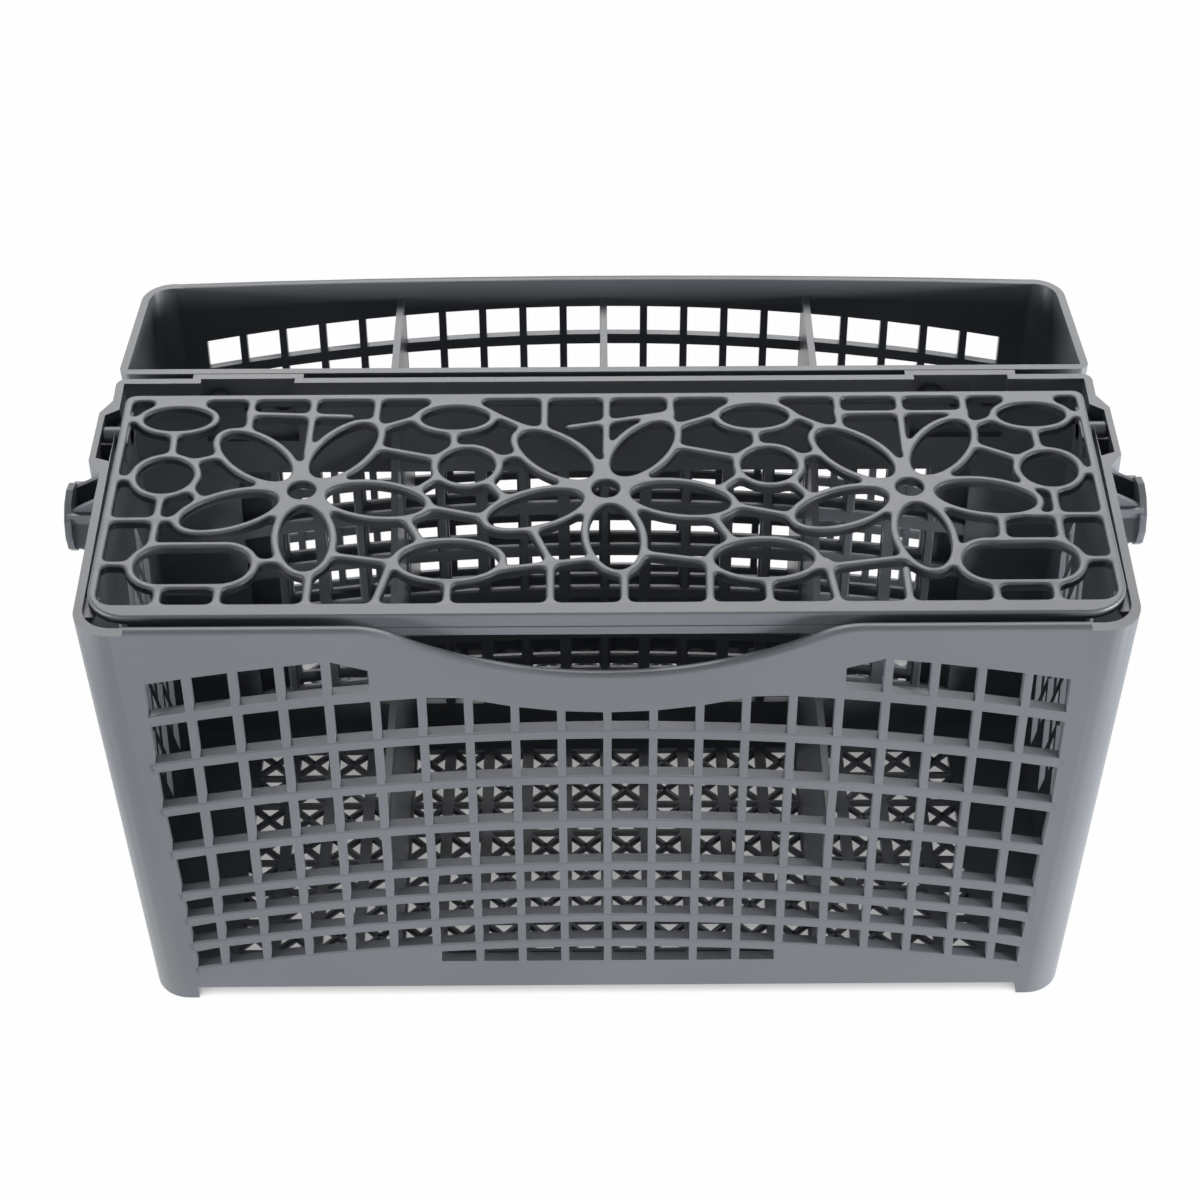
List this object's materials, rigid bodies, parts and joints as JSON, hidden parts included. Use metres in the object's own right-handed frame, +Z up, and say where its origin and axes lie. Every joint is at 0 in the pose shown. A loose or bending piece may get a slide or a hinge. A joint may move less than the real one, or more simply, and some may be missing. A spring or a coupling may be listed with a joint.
{
  "type": "dishwasher cutlery basket",
  "caption": "Moulded dishwasher cutlery basket: gridded front bin with a hinged flower-grille lid, and a slim divided rear bin that slides off its keyhole locks.",
  "frame": {"origin": "middle of the bounding box on the plane the feet stand on", "axes": "+X along the basket, -Y towards the side with the thumb notch, +Z up"},
  "size_m": [0.2564, 0.14, 0.1259],
  "materials": {
    "grey_plastic": "satin moulded"
  },
  "bodies": {
    "front_basket": {"front_basket": "grey_plastic"},
    "rear_basket": {"rear_basket": "grey_plastic"},
    "lid": {"lid": "grey_plastic"}
  },
  "joints": [
    {"name": "lid_hinge", "type": "hinge", "parent": "front_basket", "child": "lid", "pos_m": [0, 0.007, 0.1218], "axis": [-1, 0, 0], "range_deg": [0, 105]},
    {"name": "rear_lock_slide", "type": "slide", "parent": "front_basket", "child": "rear_basket", "axis": [1, 0, 0], "range_m": [0, 0.015]}
  ]
}
